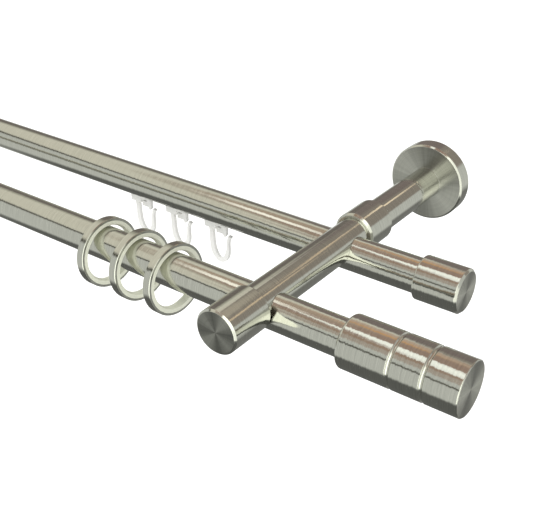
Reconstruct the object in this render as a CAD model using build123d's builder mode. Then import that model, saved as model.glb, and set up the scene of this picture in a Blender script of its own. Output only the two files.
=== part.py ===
"""Two-run round curtain rod on two wall brackets.

A plain round tube runs in front and carries three rings; a slotted round track runs
behind it, closer to the wall, and carries three gliders with pleat hooks.

Frame: millimetres, +X along the rods to the right-hand end, +Y into the wall, +Z up.
The origin is the centre of the right bracket's seat on the wall.
"""
import os
from math import cos, radians, sin, sqrt

from build123d import *

os.makedirs("parts", exist_ok=True)

# Rods
front_rod_length = 1200.0
rod_d = 20.0
front_wall = 1.0
track_wall = 1.2
slot_width = 4.4
channel_width = 10.0
channel_height = 4.8
channel_lip = 2.5
channel_web = 1.0

# Wall bracket, measured along its axis from the wall
wall_to_front_rod = 182.0
rod_pitch = 73.2
rod_drop = 4.8
arm_d = 20.0
head_wall = 2.25
head_length = 27.5
head_gap_to_rod = 0.8
head_socket = 15.0
sleeve_wall = 2.5
sleeve_length = 23.0
sleeve_from_wall = 74.3
neck_step = 0.3
neck_end = 31.5
stud_d = 12.0
stud_length = 12.5
rosette_d = 49.6
rosette_depth = 10.0
rosette_cavity = 5.0
plate_d = 40.0
plate_thickness = 4.5
plate_hole_d = 4.6
plate_hole_spacing = 24.0

# Rod ends
overhang = 50.4
finial_wall = 4.0
finial_length = 63.0
finial_socket = 25.0
groove_1 = 28.0
groove_2 = 45.0
groove_width = 2.2
groove_depth = 0.8
cap_wall = 2.5
cap_length = 25.8
cap_socket = 15.0

# Rings
ring_od = 41.1
ring_band = 1.5
liner_thickness = 2.2
liner_crown = 0.9
ring_width = 5.1
ring_lean = 2.9
ring_turn = 3.6
ring_x = {"1": -109.5, "2": -84.3, "3": -59.0}

# Gliders and hooks
glider_x = {"1": -155.2, "2": -124.3, "3": -91.7}
foot_length = 16.4
foot_width = 4.4
foot_thickness = 1.4
foot_block_length = 8.7
foot_block_depth = 4.3
latch_width = 2.4
latch_depth = 8.6
web_depth = 8.1
web_thickness = 1.2
pocket_width = 2.9
pocket_height = 1.3
pocket_depth = 0.9
glider_head_length = 12.0
glider_head_thickness = 2.6
hook_leg = 3.0
hook_bow = 3.0
hook_arm = 2.6
hook_thickness = 2.4
hook_drop = 37.8
hook_left = -4.4
hook_right = 9.2
hook_low = 2.9

# Screws
screw_d = 4.0
screw_length = 4.0
key_size = 2.0
rod_screw_head_d = 7.0
rod_screw_head_h = 2.4
rod_screw_grip = 3.6
access_hole_d = 9.0

# Track stops
stop_length = 8.0
stop_from_arm = 16.0

# Clearances
bore_clearance = 0.05
saddle_clearance = 0.05
plate_clearance = 0.2
socket_end_gap = 0.2
bar_end_gap = 0.5
hang_gap = 0.3
glide_gap = 0.35

# Derived sizes
rod_r = rod_d / 2
arm_r = arm_d / 2
head_d = arm_d + 2 * head_wall
sleeve_d = arm_d + 2 * sleeve_wall
neck_d = arm_d - 2 * neck_step
finial_d = rod_d + 2 * finial_wall
cap_d = rod_d + 2 * cap_wall
groove_r = (groove_width**2 / 4 + groove_depth**2) / (2 * groove_depth)
groove_middle = -rod_drop + finial_d / 2 - groove_depth + groove_r
front_y = -wall_to_front_rod
rear_y = -(wall_to_front_rod - rod_pitch)
rod_z = -rod_drop
bracket_span = front_rod_length - 2 * (overhang + finial_socket - socket_end_gap)
track_length = bracket_span + 2 * (overhang + cap_socket - socket_end_gap)
head_back = wall_to_front_rod + rod_r + head_gap_to_rod
head_front = head_back + head_length
arm_front = head_back + head_socket - socket_end_gap
sleeve_middle = sleeve_from_wall + sleeve_length / 2
bracket_x = {"right": 0.0, "left": -bracket_span}
screw_r = screw_d / 2
track_top = rod_r - track_wall
channel_floor = -rod_r + channel_lip
channel_roof = channel_floor + channel_height
ring_in = ring_od / 2 - ring_band
liner_face = ring_in - liner_thickness
liner_in = liner_face - liner_crown
lean = radians(ring_lean)
turn = radians(ring_turn)
ring_z = rod_z + rod_r + hang_gap - liner_in * cos(lean)


def across(distance):
    """Plane parallel to the wall, its local x and y along X and Z, facing the room."""
    return Plane.XZ.offset(distance)


def along(x):
    """Plane square to the rods, its local x and y along Y and Z, facing +X."""
    return Plane.YZ.offset(x)


def set_screw(x, y, z_low, length=screw_length):
    """Headless screw driven upwards, with its hexagon socket at the lower end."""
    with BuildPart() as screw:
        with BuildSketch(Plane.XY.offset(z_low)):
            with Locations((x, y)):
                Circle(screw_r)
        extrude(amount=length)
        with BuildSketch(Plane.XY.offset(z_low)):
            with Locations((x, y)):
                RegularPolygon(key_size / 2, 6, major_radius=False)
        extrude(amount=length / 2, mode=Mode.SUBTRACT)
    return screw.part


def save(part, name):
    """Label a finished piece and write it to its own file."""
    part.label = name
    export_step(part, f"parts/{name}.step")


# Front rod: plain tube with a screw access hole under each bracket
front_left = -bracket_span / 2 - front_rod_length / 2
with BuildPart() as front_rod:
    with BuildSketch(along(front_left)):
        with Locations((front_y, rod_z)):
            Circle(rod_r)
            Circle(rod_r - front_wall, mode=Mode.SUBTRACT)
    extrude(amount=front_rod_length)
    with BuildSketch(Plane.XY.offset(rod_z)):
        with Locations(*[(x, front_y) for x in bracket_x.values()]):
            Circle(access_hole_d / 2)
    extrude(amount=-rod_d, mode=Mode.SUBTRACT)
    with BuildSketch(Plane.XY.offset(rod_z)):
        with Locations(*[(x, front_y) for x in bracket_x.values()]):
            Circle(screw_r + bore_clearance)
    extrude(amount=rod_d, mode=Mode.SUBTRACT)
save(front_rod.part, "front_rod")

# Rear track: round outside, with a channel over the slot for the glider heads
track_left = -bracket_span / 2 - track_length / 2
with BuildPart() as rear_track:
    with BuildSketch(along(track_left)):
        with Locations((rear_y, rod_z)):
            Circle(rod_r)
        with BuildLine():
            half = sqrt(track_top**2 - (channel_roof + channel_web) ** 2)
            low = rod_z + channel_roof + channel_web
            ThreePointArc(
                (rear_y - half, low), (rear_y, rod_z + track_top), (rear_y + half, low)
            )
            Line((rear_y + half, low), (rear_y - half, low))
        make_face(mode=Mode.SUBTRACT)
        with Locations((rear_y, rod_z + channel_floor + channel_height / 2)):
            Rectangle(channel_width, channel_height, mode=Mode.SUBTRACT)
        with Locations((rear_y, rod_z - rod_r)):
            Rectangle(slot_width, 2 * (channel_lip + 0.5), mode=Mode.SUBTRACT)
    extrude(amount=track_length)
    with BuildSketch(Plane.XY.offset(rod_z + channel_roof)):
        with Locations(*[(x, rear_y) for x in bracket_x.values()]):
            Circle(access_hole_d / 2)
    extrude(amount=-rod_d, mode=Mode.SUBTRACT)
    with BuildSketch(Plane.XY.offset(rod_z)):
        with Locations(*[(x, rear_y) for x in bracket_x.values()]):
            Circle(screw_r + bore_clearance)
    extrude(amount=rod_d, both=True, mode=Mode.SUBTRACT)
save(rear_track.part, "rear_track")

# Wall brackets
for side, x in bracket_x.items():
    outward = 1 if side == "right" else -1

    # Wall plate, screwed to the wall and hidden inside the rosette
    with BuildPart() as wall_plate:
        with BuildSketch(across(0)):
            with Locations((x, 0)):
                Circle(plate_d / 2)
            with Locations((x, plate_hole_spacing / 2), (x, -plate_hole_spacing / 2)):
                Circle(plate_hole_d / 2, mode=Mode.SUBTRACT)
        extrude(amount=plate_thickness)
        chamfer(wall_plate.edges().group_by(Axis.Y)[0].sort_by(SortBy.LENGTH)[-1], 0.5)
    save(wall_plate.part, f"wall_plate_{side}")

    # Rosette: round cover turned in one piece with its neck and stud
    screw_from_wall = plate_thickness / 2
    with BuildPart() as rosette:
        with BuildSketch(across(0)):
            with Locations((x, 0)):
                Circle(rosette_d / 2)
        extrude(amount=rosette_depth)
        chamfer(rosette.edges().group_by(Axis.Y)[0], 1.0)
        with BuildSketch(across(0)):
            with Locations((x, 0)):
                Circle(plate_d / 2 + plate_clearance)
        extrude(amount=rosette_cavity, mode=Mode.SUBTRACT)
        with BuildSketch(across(rosette_cavity)):
            with Locations((x, 0)):
                Circle(neck_d / 2)
        extrude(amount=neck_end - rosette_cavity)
        with BuildSketch(across(neck_end)):
            with Locations((x, 0)):
                Circle(stud_d / 2)
        extrude(amount=stud_length)
        chamfer(rosette.edges().group_by(Axis.Y)[0], 0.6)
        with BuildSketch(Plane.XY.offset(-plate_d / 2)):
            with Locations((x, -screw_from_wall)):
                Circle(screw_r + bore_clearance)
        extrude(amount=-rosette_d, mode=Mode.SUBTRACT)
    save(rosette.part, f"rosette_{side}")
    save(set_screw(x, -screw_from_wall, -plate_d / 2 - screw_length), f"rosette_screw_{side}")

    # Stem: round bar from the rosette into the sleeve, bored for the stud
    stem_screw_y = -(neck_end + 6.5)
    sleeve_screw_far = -(sleeve_middle + sleeve_length / 4)
    sleeve_screw_near = -(sleeve_middle - sleeve_length / 4)
    pocket_low = -arm_r + 1.8
    with BuildPart() as stem:
        with BuildSketch(across(neck_end)):
            with Locations((x, 0)):
                Circle(arm_r)
        extrude(amount=sleeve_middle - bar_end_gap - neck_end)
        fillet(stem.edges().group_by(Axis.Y)[-1], 1.2)
        with BuildSketch(across(neck_end)):
            with Locations((x, 0)):
                Circle(stud_d / 2 + bore_clearance)
        extrude(amount=stud_length + bar_end_gap, mode=Mode.SUBTRACT)
        with BuildSketch(Plane.XY):
            with Locations((x, stem_screw_y)):
                Circle(screw_r + bore_clearance)
        extrude(amount=-arm_d, mode=Mode.SUBTRACT)
        with BuildSketch(Plane.XY.offset(pocket_low)):
            with Locations((x, sleeve_screw_near)):
                Circle(screw_r + bore_clearance)
        extrude(amount=-arm_d, mode=Mode.SUBTRACT)
    save(stem.part, f"stem_{side}")
    stem_screw_length = arm_r - stud_d / 2 - 0.3
    save(
        set_screw(x, stem_screw_y, -stud_d / 2 - stem_screw_length, stem_screw_length),
        f"stem_screw_{side}",
    )

    # Sleeve: short collar that joins stem and arm, locked by two set screws
    with BuildPart() as sleeve:
        with BuildSketch(across(sleeve_from_wall)):
            with Locations((x, 0)):
                Circle(sleeve_d / 2)
        extrude(amount=sleeve_length)
        chamfer(sleeve.edges().group_by(Axis.Y)[0], 1.2)
        fillet(sleeve.edges().group_by(Axis.Y)[-1], 1.0)
        with BuildSketch(across(sleeve_from_wall)):
            with Locations((x, 0)):
                Circle(arm_r + bore_clearance)
        extrude(amount=sleeve_length, mode=Mode.SUBTRACT)
        with BuildSketch(Plane.XY):
            with Locations((x, sleeve_screw_near), (x, sleeve_screw_far)):
                Circle(screw_r + bore_clearance)
        extrude(amount=-sleeve_d, mode=Mode.SUBTRACT)
    save(sleeve.part, f"sleeve_{side}")
    save(set_screw(x, sleeve_screw_near, pocket_low - screw_length), f"sleeve_screw_rear_{side}")
    save(set_screw(x, sleeve_screw_far, pocket_low - screw_length), f"sleeve_screw_front_{side}")

    # Arm: round bar with a cross-cut saddle for each rod, open underneath
    with BuildPart() as arm:
        with BuildSketch(across(sleeve_middle + bar_end_gap)):
            with Locations((x, 0)):
                Circle(arm_r)
        extrude(amount=arm_front - sleeve_middle - bar_end_gap)
        chamfer(arm.edges().group_by(Axis.Y)[0], 0.5)
        with BuildSketch(along(x - arm_d)):
            with Locations((front_y, rod_z), (rear_y, rod_z)):
                Circle(rod_r + saddle_clearance)
        extrude(amount=2 * arm_d, mode=Mode.SUBTRACT)
        with BuildSketch(Plane.XY):
            with Locations((x, front_y), (x, rear_y)):
                Circle(screw_r + bore_clearance)
        extrude(amount=rod_z + rod_r + rod_screw_grip + 0.3, mode=Mode.SUBTRACT)
        with BuildSketch(Plane.XY.offset(pocket_low)):
            with Locations((x, sleeve_screw_far)):
                Circle(screw_r + bore_clearance)
        extrude(amount=-arm_d, mode=Mode.SUBTRACT)
    save(arm.part, f"arm_{side}")

    # Head: knob pushed over the front end of the arm
    with BuildPart() as head:
        with BuildSketch(across(head_back)):
            with Locations((x, 0)):
                Circle(head_d / 2)
        extrude(amount=head_length)
        chamfer(head.edges().group_by(Axis.Y)[0], 1.0)
        fillet(head.edges().group_by(Axis.Y)[-1], 0.5)
        with BuildSketch(across(head_back)):
            with Locations((x, 0)):
                Circle(arm_r + bore_clearance)
        extrude(amount=head_socket, mode=Mode.SUBTRACT)
    save(head.part, f"head_{side}")

    # Rod screws: driven up through the access hole into the arm
    seat_front = sqrt((rod_r - front_wall) ** 2 - (rod_screw_head_d / 2) ** 2)
    seats = {"front": (front_y, seat_front), "rear": (rear_y, channel_roof)}
    for run, (y, seat) in seats.items():
        with BuildPart() as rod_screw:
            with BuildSketch(Plane.XY.offset(rod_z + seat)):
                with Locations((x, y)):
                    Circle(screw_r)
            extrude(amount=rod_r + rod_screw_grip - seat)
            with BuildSketch(Plane.XY.offset(rod_z + seat)):
                with Locations((x, y)):
                    Circle(rod_screw_head_d / 2)
            extrude(amount=-rod_screw_head_h)
            with BuildSketch(Plane.XY.offset(rod_z + seat - rod_screw_head_h)):
                with Locations((x, y)):
                    RegularPolygon(1.25 * key_size / 2, 6, major_radius=False)
            extrude(amount=rod_screw_head_h / 2, mode=Mode.SUBTRACT)
        save(rod_screw.part, f"rod_screw_{run}_{side}")

    # Finial: turned knob over the end of the front rod, with two grooves
    finial_x = x + outward * overhang
    with BuildPart() as finial:
        with BuildSketch(along(finial_x)):
            with Locations((front_y, rod_z)):
                Circle(finial_d / 2)
        extrude(amount=outward * finial_length)
        ends = finial.edges().sort_by(Axis.X, reverse=outward < 0)
        fillet(ends[0], 1.6)
        ends = finial.edges().filter_by(GeomType.CIRCLE).sort_by(Axis.X, reverse=outward < 0)
        chamfer(ends[-1], 0.4)
        with BuildSketch(Plane.XZ.offset(-front_y)):
            for groove in (groove_1, groove_2):
                with Locations((finial_x + outward * groove, groove_middle)):
                    Circle(groove_r)
        revolve(axis=Axis((0, front_y, rod_z), (1, 0, 0)), mode=Mode.SUBTRACT)
        with BuildSketch(along(finial_x)):
            with Locations((front_y, rod_z)):
                Circle(rod_r + bore_clearance)
        extrude(amount=outward * finial_socket, mode=Mode.SUBTRACT)
        with BuildSketch(Plane.XY.offset(rod_z)):
            with Locations((finial_x + outward * 9, front_y)):
                Circle(screw_r + bore_clearance)
        extrude(amount=-finial_d, mode=Mode.SUBTRACT)
    save(finial.part, f"finial_{side}")
    finial_screw_length = finial_d / 2 - rod_r - 0.3
    save(
        set_screw(
            finial_x + outward * 9,
            front_y,
            rod_z - rod_r - finial_screw_length,
            finial_screw_length,
        ),
        f"finial_screw_{side}",
    )

    # End cap: short plug over the end of the rear track
    with BuildPart() as end_cap:
        with BuildSketch(along(finial_x)):
            with Locations((rear_y, rod_z)):
                Circle(cap_d / 2)
        extrude(amount=outward * cap_length)
        ends = end_cap.edges().sort_by(Axis.X, reverse=outward < 0)
        fillet(ends[0], 0.8)
        ends = end_cap.edges().filter_by(GeomType.CIRCLE).sort_by(Axis.X, reverse=outward < 0)
        chamfer(ends[-1], 1.2)
        with BuildSketch(along(finial_x)):
            with Locations((rear_y, rod_z)):
                Circle(rod_r + bore_clearance)
        extrude(amount=outward * cap_socket, mode=Mode.SUBTRACT)
    save(end_cap.part, f"end_cap_{side}")

    # Track stop: plastic block in the channel that keeps the gliders off the bracket
    stop_x = x - outward * (stop_from_arm + stop_length / 2)
    with BuildPart() as stop:
        with BuildSketch(along(stop_x)):
            with Locations((rear_y, rod_z + channel_floor + channel_height / 2)):
                Rectangle(channel_width - 0.2, channel_height - 0.2)
            with Locations((rear_y, rod_z + channel_floor - channel_lip / 4)):
                Rectangle(slot_width - 0.2, channel_lip / 2 + 0.3)
        extrude(amount=stop_length / 2, both=True)
    save(stop.part, f"track_stop_{side}")

# Rings: a metal band lined with a crowned plastic ring, hanging on the front rod
lean_dir = (cos(lean) * cos(turn), -cos(lean) * sin(turn), sin(lean))
for number, x in ring_x.items():
    middle = (
        x - ring_width / 2 * lean_dir[0],
        front_y - ring_width / 2 * lean_dir[1],
        ring_z - ring_width / 2 * lean_dir[2],
    )
    upright = Plane(origin=middle, x_dir=lean_dir, z_dir=(-sin(turn), -cos(turn), 0))
    with BuildPart() as band:
        with BuildSketch(Plane(origin=middle, x_dir=(sin(turn), cos(turn), 0), z_dir=lean_dir)):
            Circle(ring_od / 2)
            Circle(ring_in, mode=Mode.SUBTRACT)
        extrude(amount=ring_width / 2, both=True)
        chamfer(band.edges().filter_by(GeomType.CIRCLE).group_by(SortBy.RADIUS)[-1], 0.25)
    save(band.part, f"ring_band_{number}")

    with BuildPart() as liner:
        with BuildSketch(upright):
            with BuildLine():
                Polyline(
                    (-ring_width / 2, liner_face),
                    (-ring_width / 2, ring_in),
                    (ring_width / 2, ring_in),
                    (ring_width / 2, liner_face),
                )
                ThreePointArc(
                    (ring_width / 2, liner_face), (0, liner_in), (-ring_width / 2, liner_face)
                )
            make_face()
        revolve(axis=Axis(middle, lean_dir))
    save(liner.part, f"ring_liner_{number}")

# Gliders: head in the channel, neck through the slot, foot and latch below
foot_top = rod_z - rod_r - glide_gap
foot_low = foot_top - foot_thickness
block_low = foot_top - foot_block_depth
head_low = rod_z + channel_floor + glide_gap
neck_width = slot_width - 2 * glide_gap
for number, x in glider_x.items():
    foot_left = x - foot_length / 2
    foot_right = x + foot_length / 2
    latch_x = foot_right - latch_width / 2
    with BuildPart() as glider:
        with BuildSketch(Plane.XY.offset(head_low)):
            with Locations((x, rear_y)):
                RectangleRounded(glider_head_length, channel_width - 2 * glide_gap - 0.5, 1.5)
        extrude(amount=glider_head_thickness)
        with BuildSketch(Plane.XY.offset(head_low)):
            with Locations((x, rear_y)):
                RectangleRounded(glider_head_length - 2, neck_width, 0.8)
        extrude(amount=foot_low - head_low)
        with BuildSketch(Plane.XY.offset(foot_low)):
            with Locations((x, rear_y)):
                Rectangle(foot_length, foot_width)
        extrude(amount=foot_thickness)
        with BuildSketch(Plane.XY.offset(foot_low)):
            with Locations((foot_left + foot_block_length / 2, rear_y)):
                Rectangle(foot_block_length, foot_width)
        extrude(amount=block_low - foot_low)
        web_left = foot_left + foot_block_length - 2
        web_length = foot_right - latch_width / 2 - web_left
        web_top = foot_low + foot_thickness / 2
        with BuildSketch(Plane.XZ.offset(-rear_y - foot_width / 2 + web_thickness)):
            with Locations((web_left + web_length / 2, (web_top + foot_top - web_depth) / 2)):
                Rectangle(web_length, web_top - foot_top + web_depth)
        extrude(amount=-web_thickness)
        with BuildSketch(Plane.XZ.offset(-rear_y - foot_width / 2 + web_thickness)):
            with Locations((web_left + 1.2 + pocket_width / 2, foot_low - 2 * pocket_height)):
                Rectangle(pocket_width, pocket_height)
        extrude(amount=-pocket_depth, mode=Mode.SUBTRACT)
        with BuildSketch(Plane.XZ.offset(-rear_y)):
            with BuildLine():
                Polyline(
                    (foot_right - latch_width, foot_low),
                    (foot_right, foot_low),
                    (foot_right, foot_top - latch_depth * 0.8),
                    (latch_x, foot_top - latch_depth),
                    (foot_right - latch_width, foot_top - latch_depth * 0.85),
                    close=True,
                )
            make_face()
        extrude(amount=foot_width / 4, both=True)
    save(glider.part, f"glider_{number}")

    # Pleat hook: one plastic strand, down, round and up again to a thinner, wavy free end
    hook_top = block_low
    bottom = rod_z - hook_drop
    outer_left = x + hook_left - hook_leg / 2
    inner_left = x + hook_left + hook_leg / 2
    outer_right = x + hook_right + hook_arm / 2
    inner_right = x + hook_right - hook_arm / 2
    with BuildPart() as hook:
        with BuildSketch(Plane.XZ.offset(-rear_y - hook_thickness / 2)):
            with BuildLine():
                outside = Spline(
                    (outer_left, hook_top),
                    (outer_left + 0.6, hook_top - 10.3),
                    (outer_left + 2.6, bottom + 4.0),
                    (x + hook_low, bottom),
                    (outer_right - 2.2, bottom + 3.0),
                    (outer_right - 0.3, bottom + 9.0),
                    (outer_right - 0.2, bottom + 16.3),
                    (outer_right + 1.7, bottom + 20.0),
                )
                inside = Spline(
                    (inner_left, hook_top),
                    (inner_left + 1.0, hook_top - 9.8),
                    (inner_left + 2.4, bottom + 7.0),
                    (x + hook_low + 0.2, bottom + hook_bow),
                    (inner_right - 1.7, bottom + 6.0),
                    (inner_right, bottom + 11.7),
                    (inner_right + 0.5, bottom + 16.5),
                    (inner_right + 1.9, bottom + 20.6),
                )
                Line(outside @ 0, inside @ 0)
                Line(outside @ 1, inside @ 1)
            make_face()
        extrude(amount=hook_thickness)
        fillet(hook.edges().filter_by(GeomType.BSPLINE), 0.5)
        fillet(hook.edges().group_by(Axis.Z)[-1], 0.4)
    save(hook.part, f"hook_{number}")
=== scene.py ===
"""Looks of a two-run curtain rod: turned brushed nickel, cream ring liners, white gliders.

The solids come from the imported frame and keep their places. This file gives every one of
them its finish, and builds the studio around them: floor, surround, lamp and camera.
Everything is in metres, in the frame's own axes: +X along the rods to the right-hand end,
+Y into the wall, +Z up.
"""

import logging
import math
from dataclasses import dataclass, field
from enum import Enum
from typing import Any, Sequence

import bpy
import numpy as np
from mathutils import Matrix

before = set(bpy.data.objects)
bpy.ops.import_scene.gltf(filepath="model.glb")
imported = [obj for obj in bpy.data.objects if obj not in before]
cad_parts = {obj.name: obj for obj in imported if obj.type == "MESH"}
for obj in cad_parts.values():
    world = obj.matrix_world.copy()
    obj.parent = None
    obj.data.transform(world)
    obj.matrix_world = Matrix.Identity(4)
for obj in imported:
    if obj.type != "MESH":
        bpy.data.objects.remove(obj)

LOG = logging.getLogger("curtain_rod")
MM = 0.001
Pair = tuple[float, float]
Vec = tuple[float, float, float]

# Where the axes of the turned pieces lie; a ring hangs below the rod that carries it
ROD_DROP = 4.8 * MM
RING_DROP = 5.6 * MM
FRONT_ROD_Y = -182.0 * MM
REAR_TRACK_Y = -108.8 * MM
BRACKET_X = {"right": 0.0, "left": -1049.6 * MM}

# Ranges that values come from: Blender's noise seldom leaves the first
NOISE_RANGE: Pair = (0.3, 0.7)
FULL_RANGE: Pair = (0.0, 1.0)


class Side(Enum):
    """The two ends of the rod pair."""

    RIGHT = "right"
    LEFT = "left"


class Spin(Enum):
    """The axis that a turned piece was spun about in the lathe."""

    ALONG_RODS = 0
    TO_WALL = 1


def linear(hex_colour: str) -> tuple[float, float, float, float]:
    """Turn an sRGB hex colour into Blender's linear values.

    Args:
        hex_colour: Colour as "#RRGGBB".

    Returns:
        Red, green, blue and full opacity.
    """
    parts = [int(hex_colour[i:i + 2], 16) / 255 for i in (1, 3, 5)]
    low = [c / 12.92 if c <= 0.04045 else ((c + 0.055) / 1.055) ** 2.4 for c in parts]
    return (low[0], low[1], low[2], 1.0)


def add_node(tree: Any, kind: str, links: dict[Any, Any] | None = None, **settings: Any) -> Any:
    """Add one node with its settings, socket values and links.

    Args:
        tree: Node tree that gets the node.
        kind: Blender's node type name.
        links: Input name or number to an output socket or a plain value.
        settings: Attributes of the node itself.

    Returns:
        The new node.
    """
    node = tree.nodes.new(kind)
    for key, value in settings.items():
        setattr(node, key, value)
    for key, value in (links or {}).items():
        if isinstance(value, bpy.types.NodeSocket):
            tree.links.new(value, node.inputs[key])
        else:
            node.inputs[key].default_value = value
    return node


def maths(tree: Any, operation: str, *values: Any) -> Any:
    """Return the output of one math node with these inputs."""
    return add_node(tree, "ShaderNodeMath", dict(enumerate(values)),
                    operation=operation).outputs[0]


def vectors(tree: Any, operation: str, *values: Any) -> Any:
    """Return the vector output of one vector math node with these inputs."""
    return add_node(tree, "ShaderNodeVectorMath", dict(enumerate(values)),
                    operation=operation).outputs[0]


def blend(tree: Any, share: Any, first: Any, second: Any) -> Any:
    """Return a number that goes from the first to the second as the share grows to 1."""
    return add_node(tree, "ShaderNodeMix", {0: share, 2: first, 3: second}).outputs[0]


def remap(tree: Any, value: Any, low: Any, high: Any, source: Pair = NOISE_RANGE) -> Any:
    """Carry a value from one range to another, and clamp it there.

    Args:
        tree: Node tree that gets the node.
        value: Socket with the value.
        low: Number or socket that the source's lower end becomes.
        high: Number or socket that the source's upper end becomes.
        source: Range that the value comes from.

    Returns:
        The output socket.
    """
    return add_node(tree, "ShaderNodeMapRange",
                    {0: value, 1: source[0], 2: source[1], 3: low, 4: high}).outputs[0]


def noise(tree: Any, place: Any, scale: float, detail: float, roughness: float = 0.5) -> Any:
    """Return the value of one noise texture at these places."""
    return add_node(tree, "ShaderNodeTexNoise",
                    {"Vector": place, "Scale": scale, "Detail": detail,
                     "Roughness": roughness}).outputs[0]


def background_rays(tree: Any) -> Any:
    """Return 1 for camera, glossy and transmission rays, and 0 for all others."""
    path = add_node(tree, "ShaderNodeLightPath").outputs
    seen = maths(tree, "MAXIMUM", path["Is Camera Ray"], path["Is Glossy Ray"])
    return maths(tree, "MAXIMUM", seen, path["Is Transmission Ray"])


def new_material(name: str) -> Any:
    """Make an empty node material with this name and return it."""
    material = bpy.data.materials.new(name)
    material.use_nodes = True
    material.node_tree.nodes.clear()
    return material


def dress(names: Sequence[str], material: Any) -> None:
    """Give a material to all slots of the named CAD nodes.

    Args:
        names: CAD node names.
        material: The finish they get.
    """
    for name in names:
        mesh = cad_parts[name].data
        mesh.materials.clear()
        mesh.materials.append(material)
        LOG.info("%s: %s", name, material.name)


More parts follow.
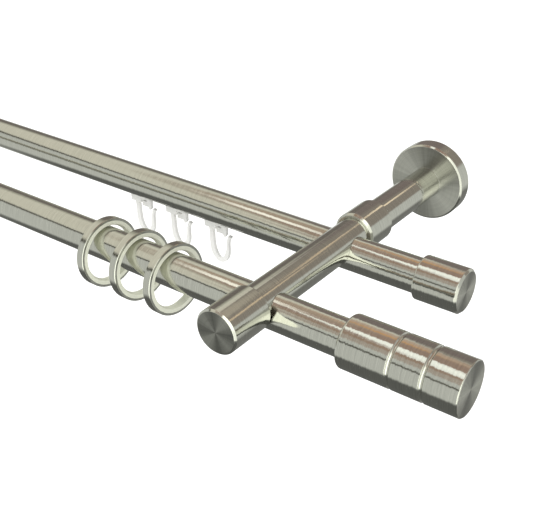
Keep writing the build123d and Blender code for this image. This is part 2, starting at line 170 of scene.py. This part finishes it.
@dataclass(frozen=True)
class TurnedNickel:
    """Satin nickel on turned pieces: tool lines run round the axis, also on end faces.

    The eye sees a clear but combed reflection: every line throws the light a little higher
    or lower than its neighbour, so bright bands get ragged edges. Flat ends get painted
    light in their colour: fans of painted reflection from the centre, and a painted shade
    or brightening over the whole end. Real lines are about 0.05 mm apart, too fine to
    show, so they are drawn about seven times as wide.

    line is the size of the fine noise in tone and gloss, tooth the width of one tool line,
    wander how far a line tilts the surface at most, and worn_edge the radius of the
    rounding that edges show. The fan sizes and fan angles give the strength and the angle
    in degrees of the two painted reflection fans on a flat end, and the face level is the
    painted shade or brightening of the whole end. The spans are the least and the greatest
    value.
    """

    name: str
    spin: Spin
    centre: Vec
    colour: str = "#CDCDC5"
    roughness: float = 0.10
    line: float = 0.3 * MM
    tooth: float = 0.36 * MM
    wander: float = 0.019
    worn_edge: float = 0.5 * MM
    edge_samples: int = 6
    face_tone: float = 1.15
    face_fans: Pair = (0.35, 0.12)
    face_turns: Pair = (175.0, 15.0)
    face_roughness: float = 0.28
    face_limits: Pair = (0.93, 0.97)
    spokes: float = 7.0
    spoke_span: Pair = (0.88, 1.12)
    tone_span: Pair = (0.87, 1.08)
    gloss_span: Pair = (0.7, 1.4)
    slow_turn: float = 0.8
    stretch: float = 0.7
    quarter_turn: float = 0.25

    def build(self) -> Any:
        """Return the material: tool lines tilt the normal and stir tone and gloss."""
        material = new_material(self.name)
        tree = material.node_tree
        place = add_node(tree, "ShaderNodeTexCoord").outputs
        local = vectors(tree, "SUBTRACT", place["Object"], self.centre)
        split = add_node(tree, "ShaderNodeSeparateXYZ", {0: local}).outputs
        axial, across, upward = split[self.spin.value], split[1 - self.spin.value], split[2]
        radial = add_node(tree, "ShaderNodeCombineXYZ", {0: across, 1: upward}).outputs[0]
        reach = add_node(tree, "ShaderNodeVectorMath", {0: radial}, operation="LENGTH")
        unit = vectors(tree, "NORMALIZE", radial)
        turn = add_node(tree, "ShaderNodeSeparateXYZ", {0: unit}).outputs

        # Line noise: fast along the profile, slow round the axis
        run = maths(tree, "ADD", axial, reach.outputs["Value"])
        lathe = add_node(tree, "ShaderNodeCombineXYZ", {
            0: maths(tree, "MULTIPLY", run, 1 / self.line),
            1: maths(tree, "MULTIPLY", turn[0], self.slow_turn),
            2: maths(tree, "MULTIPLY", turn[1], self.slow_turn)}).outputs[0]
        lines = noise(tree, lathe, scale=1.0, detail=2.0, roughness=0.7)
        gloss = remap(tree, lines, *(self.roughness * share for share in self.gloss_span))
        tone = remap(tree, lines, *self.tone_span)

        # Direction round the axis, and how much a spot belongs to a flat end
        back = maths(tree, "MULTIPLY", turn[1], -1.0)
        tangent = add_node(tree, "ShaderNodeCombineXYZ",
                           {1 - self.spin.value: back, 2: turn[0]}).outputs[0]
        facing = add_node(tree, "ShaderNodeSeparateXYZ", {0: place["Normal"]}).outputs
        flat = remap(tree, maths(tree, "ABSOLUTE", facing[self.spin.value]),
                     *FULL_RANGE, source=self.face_limits)

        # Flat ends get painted light in their colour: reflection fans and an overall painted
        # shade or brightening
        level = blend(tree, flat, 1.0, self.painted_face_fans(tree, unit, turn))
        shade = vectors(tree, "MULTIPLY", linear(self.colour)[:3],
                        maths(tree, "MULTIPLY", tone, level))
        shader = add_node(tree, "ShaderNodeBsdfPrincipled",
                          {"Base Color": shade, "Metallic": 1.0,
                           "Roughness": blend(tree, flat, gloss, self.face_roughness),
                           "Normal": self.combed_normal(tree, run, tangent, flat),
                           "Anisotropic": self.stretch,
                           "Anisotropic Rotation": self.quarter_turn, "Tangent": tangent})
        add_node(tree, "ShaderNodeOutputMaterial", {"Surface": shader.outputs[0]})
        return material

    def painted_face_fans(self, tree: Any, unit: Any, turn: Any) -> Any:
        """Make the painted light of flat ends: two fans of painted reflection, with uneven
        spokes.

        A fan is a cosine of twice or four times the angle round the centre, so it repeats
        on both sides of it.

        Args:
            tree: Node tree that gets the nodes.
            unit: Direction from the axis.
            turn: The same direction, as separate numbers.

        Returns:
            The factor for the colour: painted reflection fans times the painted shade level.
        """
        angle = maths(tree, "ARCTAN2", turn[1], turn[0])
        waves = []
        for times, size, peak in zip((2, 4), self.face_fans, self.face_turns):
            shift = maths(tree, "SUBTRACT", angle, math.radians(peak))
            wave = maths(tree, "COSINE", maths(tree, "MULTIPLY", shift, times))
            waves.append(maths(tree, "MULTIPLY", wave, size))
        spokes = noise(tree, unit, scale=self.spokes, detail=2.0, roughness=0.6)
        streak = remap(tree, spokes, *self.spoke_span)
        fan = maths(tree, "ADD", maths(tree, "ADD", *waves), streak)
        return maths(tree, "MULTIPLY", fan, self.face_tone)

    def combed_normal(self, tree: Any, run: Any, tangent: Any, flat: Any) -> Any:
        """Make the normal: every line tilts it round the axis, but not on flat ends.

        Args:
            tree: Node tree that gets the nodes.
            run: Distance along the profile.
            tangent: Direction round the axis.
            flat: 1 on flat ends, 0 on round faces.

        Returns:
            The normal, also rounded at edges.
        """
        cell = maths(tree, "FLOOR", maths(tree, "DIVIDE", run, self.tooth))
        tooth = add_node(tree, "ShaderNodeTexWhiteNoise", {"W": cell}, noise_dimensions="1D")
        sway = maths(tree, "MULTIPLY_ADD", flat, -self.wander, self.wander)
        swing = remap(tree, tooth.outputs["Value"], maths(tree, "MULTIPLY", sway, -1.0), sway,
                      source=FULL_RANGE)
        lean = add_node(tree, "ShaderNodeVectorMath", {0: tangent, "Scale": swing},
                        operation="SCALE")
        edge = add_node(tree, "ShaderNodeBevel", {"Radius": self.worn_edge},
                        samples=self.edge_samples)
        return vectors(tree, "NORMALIZE",
                       vectors(tree, "ADD", edge.outputs[0], lean.outputs[0]))


@dataclass(frozen=True)
class PlatedSteel:
    """Zinc-plated pressed steel: dull grey metal whose plating is faintly blotched."""

    name: str
    colour: str
    roughness: float = 0.42
    gloss_change: float = 0.08
    blotch: float = 3.0 * MM
    tone_span: Pair = (0.88, 1.05)

    def build(self) -> Any:
        """Return the material: slow noise stirs tone and gloss."""
        material = new_material(self.name)
        tree = material.node_tree
        place = add_node(tree, "ShaderNodeTexCoord").outputs["Object"]
        cloud = noise(tree, place, scale=1 / self.blotch, detail=4.0)
        shade = vectors(tree, "MULTIPLY", linear(self.colour)[:3],
                        remap(tree, cloud, *self.tone_span))
        gloss = remap(tree, cloud, self.roughness - self.gloss_change,
                      self.roughness + self.gloss_change)
        shader = add_node(tree, "ShaderNodeBsdfPrincipled",
                          {"Base Color": shade, "Metallic": 1.0, "Roughness": gloss})
        add_node(tree, "ShaderNodeOutputMaterial", {"Surface": shader.outputs[0]})
        return material


@dataclass(frozen=True)
class MouldedPlastic:
    """Injection-moulded plastic: even colour, faint flow mottling, soft gloss.

    grain is the size of the skin's texture and relief its depth. The flow marks are wider
    than the grain by flow_size.
    """

    name: str
    colour: str
    roughness: float = 0.3
    gloss_change: float = 0.04
    grain: float = 0.6 * MM
    relief: float = 0.01 * MM
    relief_share: float = 0.15
    flow_size: float = 8.0
    tone_span: Pair = (0.97, 1.0)

    def build(self) -> Any:
        """Return the material: fine noise stirs colour, gloss and bump a little."""
        material = new_material(self.name)
        tree = material.node_tree
        place = add_node(tree, "ShaderNodeTexCoord").outputs["Object"]
        flow = noise(tree, place, scale=1 / (self.flow_size * self.grain), detail=3.0)
        skin = noise(tree, place, scale=1 / self.grain, detail=2.0)
        shade = vectors(tree, "MULTIPLY", linear(self.colour)[:3],
                        remap(tree, flow, *self.tone_span))
        gloss = remap(tree, skin, self.roughness - self.gloss_change,
                      self.roughness + self.gloss_change)
        bump = add_node(tree, "ShaderNodeBump", {"Height": skin, "Strength": self.relief_share,
                                                 "Distance": self.relief})
        shader = add_node(tree, "ShaderNodeBsdfPrincipled",
                          {"Base Color": shade, "Roughness": gloss,
                           "Normal": bump.outputs[0]})
        add_node(tree, "ShaderNodeOutputMaterial", {"Surface": shader.outputs[0]})
        return material


def patch(name: str, points: np.ndarray, closed: bool = False) -> Any:
    """Make a mesh object from a grid of points.

    A grid cell (i, j) becomes one quad of the points (i, j), (i+1, j), (i+1, j+1) and
    (i, j+1), all found by array arithmetic on the point numbers.

    Args:
        name: Object name.
        points: Array of shape (rows, columns, 3), in metres.
        closed: Whether the last column joins the first.

    Returns:
        The new object, linked to the scene.
    """
    rows, columns = points.shape[:2]
    number = np.arange(rows * columns).reshape(rows, columns)
    wide = np.concatenate([number, number[:, :1]], 1) if closed else number
    quads = np.stack([wide[:-1, :-1], wide[1:, :-1], wide[1:, 1:], wide[:-1, 1:]], -1)
    mesh = bpy.data.meshes.new(name)
    mesh.from_pydata(points.reshape(-1, 3).tolist(), [], quads.reshape(-1, 4).tolist())
    mesh.polygons.foreach_set("use_smooth", np.ones(len(mesh.polygons), bool))
    piece = bpy.data.objects.new(name, mesh)
    bpy.context.scene.collection.objects.link(piece)
    return piece


@dataclass(frozen=True)
class Glow:
    """One soft area of the surround: a light panel, or a dark flag.

    azimuth is measured from the room side, positive to the right; elevation from level.
    wide and high are half sizes and soft is the width of the margin, all in degrees. level
    multiplies the colour. slant is how far the middle line climbs for each degree to the
    right.
    """

    purpose: str
    azimuth: float
    elevation: float
    wide: float
    high: float
    colour: str
    level: float
    soft: float
    slant: float = 0.0


@dataclass
class Studio:
    """Floor, surround, lamp, world and camera around the object.

    floor_glow and shade_level set the white background: the first is light that the floor
    adds where it is seen, the second is the world's strength where it isn't seen.
    """

    floor_drop: float = 0.5
    floor_reach: float = 30.0
    floor_colour: str = "#FAFAF8"
    floor_glow: float = 0.24
    shade_level: float = 0.89
    surround_radius: float = 3.0
    surround_columns: int = 360
    surround_rows: int = 361
    surround_top: float = 89.9
    centre: Vec = (-0.05, -0.14, 0.0)
    camera_at: Vec = (0.22428, -0.47994, 0.23543)
    azimuth: float = 36.51
    elevation: float = 30.04
    lens: float = 58.50
    sensor: float = 36.0
    nearest: float = 0.01
    lamp_at: Vec = (-1.1, -1.0, 1.9)
    lamp_tilt: Vec = (25.0, -28.0, 0.0)
    lamp_size: Pair = (1.6, 1.2)
    lamp_power: float = 36.0
    plain_tone: str = "#F9F9F9"
    level: Vec = (0.73, 0.746, 0.705)
    glows: list[Glow] = field(default_factory=lambda: [
        Glow("floor flag", 0, -90, 360, 54, "#7C7C7C", 1.0, 11.0),
        Glow("rear floor flag", 171, -60, 36, 39, "#9A9999", 1.0, 10.0),
        Glow("upper wall", -93, 45, 62, 19, "#FFF9EF", 1.17, 5.0),
        Glow("upper wall, dim left part", -134, 24, 28, 9, "#DCD8CC", 1.0, 7.0),
        Glow("rear wall", 165, 40, 40, 26, "#B8ADA7", 1.0, 5.0),
        Glow("left wall", -137, 11, 21, 15, "#958C89", 1.0, 7.0),
        Glow("left wall, high part", -160, 19, 13, 18, "#A49695", 1.0, 6.0),
        Glow("left wall, low part", -173, 2, 13, 14, "#A29692", 1.0, 8.0),
        Glow("ceiling edge", 0, 72, 360, 24, "#E9DED1", 1.0, 3.0),
        Glow("ceiling edge, near part", -22, 45, 21, 9, "#E1D2CA", 1.0, 4.0),
        Glow("ceiling", 0, 72, 360, 19, "#CDB0A5", 1.0, 3.0),
        Glow("warm ceiling", -130, 57, 26, 7, "#E5CCBC", 1.0, 6.0),
        Glow("warm cornice", -145, 54, 9, 8, "#FADBC8", 0.98, 5.0),
        Glow("warm line", -136.5, 60, 6, 3.5, "#FFC795", 1.1, 3.0),
        Glow("near cornice", -39, 53, 14, 3.5, "#CDB0A0", 1.0, 4.0),
        Glow("cove shadow", -30, 21.0, 42, 2.8, "#625F57", 1.0, 3.5, -0.1),
        Glow("left panel", -90, 58.2, 13.5, 4.0, "#FFF8F3", 2.2, 3.0),
        Glow("top panel", -52, 69, 27, 6.5, "#FFFFFF", 1.95, 2.5),
        Glow("top panel, low part", -33, 63.2, 10, 3.8, "#FFFFFF", 1.9, 2.5),
        Glow("rear line", 173, 36.3, 3.6, 1.6, "#FFE8D0", 2.5, 1.6),
        Glow("rear line, middle part", 166, 41.3, 7, 1.3, "#FFE3C6", 1.5, 1.5),
        Glow("rear line, near part", 143, 38, 10, 1.7, "#FFE3C6", 1.5, 1.8),
        Glow("room panel", 22, 9, 23, 42, "#FFFFFA", 3.2, 8.0),
        Glow("room panel, right part", 60, 9, 16, 42, "#FFFFFA", 1.9, 8.0),
    ])

    def radiance(self, direction: np.ndarray) -> np.ndarray:
        """Colour of the surround for each direction.

        It starts from a plain pale tone. Each glow is mixed over that by a weight that is 1
        inside its width and height and falls to 0 over its soft margin, by the smooth step
        3 w w - 2 w w w.

        Args:
            direction: Array (n, 3) of unit vectors.

        Returns:
            Array (n, 4) of linear colours.
        """
        azimuth = np.degrees(np.arctan2(direction[:, 0], -direction[:, 1]))
        elevation = np.degrees(np.arcsin(np.clip(direction[:, 2], -1, 1)))
        colour = np.tile(np.array(linear(self.plain_tone)[:3]), (len(direction), 1))
        for glow in self.glows:
            aside = (azimuth - glow.azimuth + 180) % 360 - 180
            weight = np.clip((glow.wide - np.abs(aside)) / glow.soft + 0.5, 0, 1)
            rise = np.abs(elevation - glow.elevation - glow.slant * aside)
            weight = weight * np.clip((glow.high - rise) / glow.soft + 0.5, 0, 1)
            weight = (weight * weight * (3 - 2 * weight))[:, None]
            target = np.array(linear(glow.colour)[:3]) * glow.level
            colour = colour * (1 - weight) + target * weight
            LOG.info("surround: %s", glow.purpose)
        colour *= np.array(self.level)
        return np.concatenate([colour, np.ones((len(colour), 1))], 1)

    def build_surround(self) -> None:
        """Make the round surround that shiny metal sees: panels and flags on a sphere.

        A point is centre + radius * (sin a cos e, -cos a cos e, sin e) over azimuth a and
        elevation e. Its colour is an attribute, and its light is seen by reflections only.
        """
        azimuth, elevation = np.meshgrid(
            np.radians(np.linspace(-180, 180, self.surround_columns, endpoint=False)),
            np.radians(np.linspace(-self.surround_top, self.surround_top,
                                   self.surround_rows)))
        ray = np.stack([np.sin(azimuth) * np.cos(elevation),
                        -np.cos(azimuth) * np.cos(elevation), np.sin(elevation)], -1)
        surround = patch("studio_surround", ray * self.surround_radius + np.array(self.centre),
                         closed=True)
        attribute = surround.data.color_attributes.new("radiance", "FLOAT_COLOR", "POINT")
        attribute.data.foreach_set("color", self.radiance(ray.reshape(-1, 3)).ravel())
        material = new_material("studio_panels")
        tree = material.node_tree
        seen = add_node(tree, "ShaderNodeAttribute", attribute_name="radiance")
        light = add_node(tree, "ShaderNodeEmission", {"Color": seen.outputs["Color"]})
        add_node(tree, "ShaderNodeOutputMaterial", {"Surface": light.outputs[0]})
        material.cycles.emission_sampling = "NONE"
        surround.data.materials.append(material)
        surround.visible_camera = False
        surround.visible_diffuse = False
        surround.visible_transmission = False
        surround.visible_shadow = False

    def build_floor(self) -> None:
        """Make the plain pale floor: a level square sheet that keeps soft shadows."""
        span = np.linspace(-self.floor_reach, self.floor_reach, 3)
        x, y = np.meshgrid(span, span, indexing="ij")
        floor = patch("floor", np.stack([x, y, np.full_like(x, -self.floor_drop)], -1))
        material = new_material("pale_floor")
        tree = material.node_tree
        grey = add_node(tree, "ShaderNodeBsdfDiffuse", {"Color": linear(self.floor_colour)})
        lift = maths(tree, "MULTIPLY", background_rays(tree), self.floor_glow)
        glow = add_node(tree, "ShaderNodeEmission", {"Strength": lift})
        both = add_node(tree, "ShaderNodeAddShader", {0: grey.outputs[0], 1: glow.outputs[0]})
        add_node(tree, "ShaderNodeOutputMaterial", {"Surface": both.outputs[0]})
        floor.data.materials.append(material)
        floor.visible_glossy = False

    def build_light(self) -> None:
        """Set the soft white world and one wide lamp above the room side."""
        world = bpy.data.worlds.new("soft_white_room")
        bpy.context.scene.world = world
        world.use_nodes = True
        tree = world.node_tree
        tree.nodes.clear()
        level = remap(tree, background_rays(tree), self.shade_level, 1.0, source=FULL_RANGE)
        back = add_node(tree, "ShaderNodeBackground", {0: linear("#FFFFFF"), 1: level})
        add_node(tree, "ShaderNodeOutputWorld", {0: back.outputs[0]})
        lamp = bpy.data.lights.new("soft_panel", "AREA")
        lamp.shape = "RECTANGLE"
        lamp.size, lamp.size_y = self.lamp_size
        lamp.energy = self.lamp_power
        holder = bpy.data.objects.new("soft_panel", lamp)
        holder.location = self.lamp_at
        holder.rotation_euler = [math.radians(angle) for angle in self.lamp_tilt]
        holder.visible_glossy = False
        bpy.context.scene.collection.objects.link(holder)

    def build_camera(self) -> None:
        """Place the camera at the photograph's viewing angle."""
        eye = bpy.data.cameras.new("camera")
        eye.lens, eye.sensor_width, eye.clip_start = self.lens, self.sensor, self.nearest
        holder = bpy.data.objects.new("camera", eye)
        holder.location = self.camera_at
        holder.rotation_euler = (math.radians(90 - self.elevation), 0,
                                 math.radians(self.azimuth))
        bpy.context.scene.collection.objects.link(holder)
        bpy.context.scene.camera = holder
        bpy.context.scene.view_settings.view_transform = "Standard"

    def build(self) -> None:
        """Build the whole studio."""
        self.build_surround()
        self.build_floor()
        self.build_light()
        self.build_camera()


@dataclass
class Rods:
    """Front tube, rear track and what closes their ends."""

    ends: tuple[Side, ...] = (Side.RIGHT, Side.LEFT)

    def build(self) -> None:
        """Dress both runs, their finials and their end caps."""
        # Ends of finials and end caps get the default painted brightening and painted
        # reflection fans in their colour
        front = TurnedNickel("satin_nickel_front_run", Spin.ALONG_RODS,
                             (0, FRONT_ROD_Y, -ROD_DROP)).build()
        rear = TurnedNickel("satin_nickel_rear_run", Spin.ALONG_RODS,
                            (0, REAR_TRACK_Y, -ROD_DROP)).build()
        dress(["front_rod"] + [f"finial_{s.value}" for s in self.ends], front)
        dress(["rear_track"] + [f"end_cap_{s.value}" for s in self.ends], rear)


@dataclass
class WallBracket:
    """One bracket: plate, rosette, stem, sleeve, arm, head and their screws."""

    side: Side
    wander: float = 0.008

    def turned(self, part: str, **look: Any) -> Any:
        """Return the nickel of one turned part, spun about the bracket's own axis."""
        name = self.side.value
        return TurnedNickel(f"satin_nickel_{part}_{name}", Spin.TO_WALL,
                            (BRACKET_X[name], 0, 0), wander=self.wander, **look).build()

    def build(self, steel: Any) -> None:
        """Dress the bracket.

        Args:
            steel: Finish of plates and screws.
        """
        name = self.side.value
        # Flat ends get painted shade and painted reflection fans in their colour: darkest on
        # the head, darker on the rosette, even on stem, sleeve and arm
        nickel = self.turned("bracket", face_tone=1.0, face_fans=(0.0, 0.0))
        cover = self.turned("rosette", face_tone=0.6, face_fans=(0.3, 0.1),
                            face_turns=(145.0, 50.0))
        knob = self.turned("head", face_tone=0.42, face_fans=(0.05, 0.35),
                           face_turns=(80.0, 55.0))
        dress([f"{part}_{name}" for part in ("stem", "sleeve", "arm")], nickel)
        dress([f"rosette_{name}"], cover)
        dress([f"head_{name}"], knob)
        dress([f"{part}_{name}" for part in (
            "wall_plate", "rosette_screw", "stem_screw", "sleeve_screw_rear",
            "sleeve_screw_front", "rod_screw_front", "rod_screw_rear", "finial_screw")], steel)


@dataclass
class Runners:
    """Rings on the front tube and gliders with their hooks on the track."""

    count: int = 3

    def build(self) -> None:
        """Dress rings, liners, gliders, hooks and track stops."""
        numbers = range(1, self.count + 1)
        # The ring bands' flat ends are darkened by painted shade in their colour
        band = TurnedNickel("satin_nickel_rings", Spin.ALONG_RODS,
                            (0, FRONT_ROD_Y, -RING_DROP - ROD_DROP), worn_edge=0.1 * MM,
                            face_tone=0.6, face_fans=(0.0, 0.0)).build()
        cream = MouldedPlastic("cream_moulded_nylon", "#EDEFDD").build()
        white = MouldedPlastic("white_moulded_acetal", "#ECECE9").build()
        dress([f"ring_band_{i}" for i in numbers], band)
        dress([f"ring_liner_{i}" for i in numbers], cream)
        dress([f"glider_{i}" for i in numbers] + [f"hook_{i}" for i in numbers], white)
        dress([f"track_stop_{s.value}" for s in Side], white)


def main() -> None:
    """Build every class in order."""
    logging.basicConfig(level=logging.INFO, format="%(name)s %(message)s")
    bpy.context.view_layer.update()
    steel = PlatedSteel("zinc_plated_steel", "#B9BABB").build()
    Rods().build()
    for side in Side:
        WallBracket(side).build(steel)
    Runners().build()
    Studio().build()


if __name__ == "__main__":
    main()
